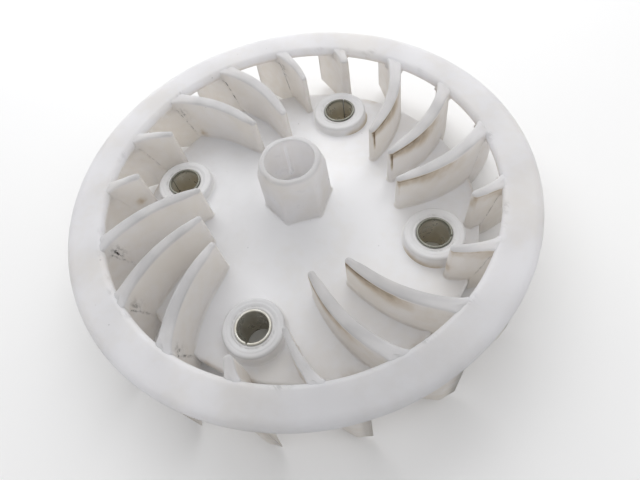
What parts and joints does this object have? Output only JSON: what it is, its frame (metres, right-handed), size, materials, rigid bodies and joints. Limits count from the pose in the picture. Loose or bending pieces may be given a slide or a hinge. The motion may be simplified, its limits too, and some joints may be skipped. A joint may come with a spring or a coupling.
{
  "type": "flywheel cooling fan",
  "caption": "Moulded centrifugal cooling fan that bolts to the face of a small engine's flywheel, with curved blades, an inlet ring, a hexagonal hub and steel bolt sleeves.",
  "frame": {"origin": "on the crankshaft axis, in the mounting plane under the four steel sleeves", "axes": "+Z along the crankshaft axis from the flywheel towards the air inlet and hub, +Y through the centre of bolt 1, +X through the centre of bolt 2"},
  "size_m": [0.1, 0.1, 0.026],
  "materials": {
    "ring_nylon": "milky translucent natural nylon, satin, clean",
    "plate_nylon": "milky translucent natural nylon, satin, faint scratches",
    "blade_nylon": "natural nylon stained warm grey and brown by use, dark scuffs",
    "hub_nylon": "natural nylon, the most translucent part",
    "sleeve_steel": "rolled steel with a worn yellowish plating, bright at the rims"
  },
  "bodies": {
    "root": {"inlet_ring": "ring_nylon", "back_plate": "plate_nylon", "hex_hub": "hub_nylon", "bolt_boss_1": "plate_nylon", "bolt_boss_2": "plate_nylon", "bolt_boss_3": "plate_nylon", "bolt_boss_4": "plate_nylon", "steel_sleeve_1": "sleeve_steel", "steel_sleeve_2": "sleeve_steel", "steel_sleeve_3": "sleeve_steel", "steel_sleeve_4": "sleeve_steel", "fan_blade_01": "blade_nylon", "fan_blade_02": "blade_nylon", "fan_blade_03": "blade_nylon", "fan_blade_04": "blade_nylon", "fan_blade_05": "blade_nylon", "fan_blade_06": "blade_nylon", "fan_blade_07": "blade_nylon", "fan_blade_08": "blade_nylon", "fan_blade_09": "blade_nylon", "fan_blade_10": "blade_nylon", "fan_blade_11": "blade_nylon", "fan_blade_12": "blade_nylon", "fan_blade_13": "blade_nylon", "fan_blade_14": "blade_nylon", "fan_blade_15": "blade_nylon", "fan_blade_16": "blade_nylon", "fan_blade_17": "blade_nylon", "fan_blade_18": "blade_nylon"}
  },
  "joints": []
}
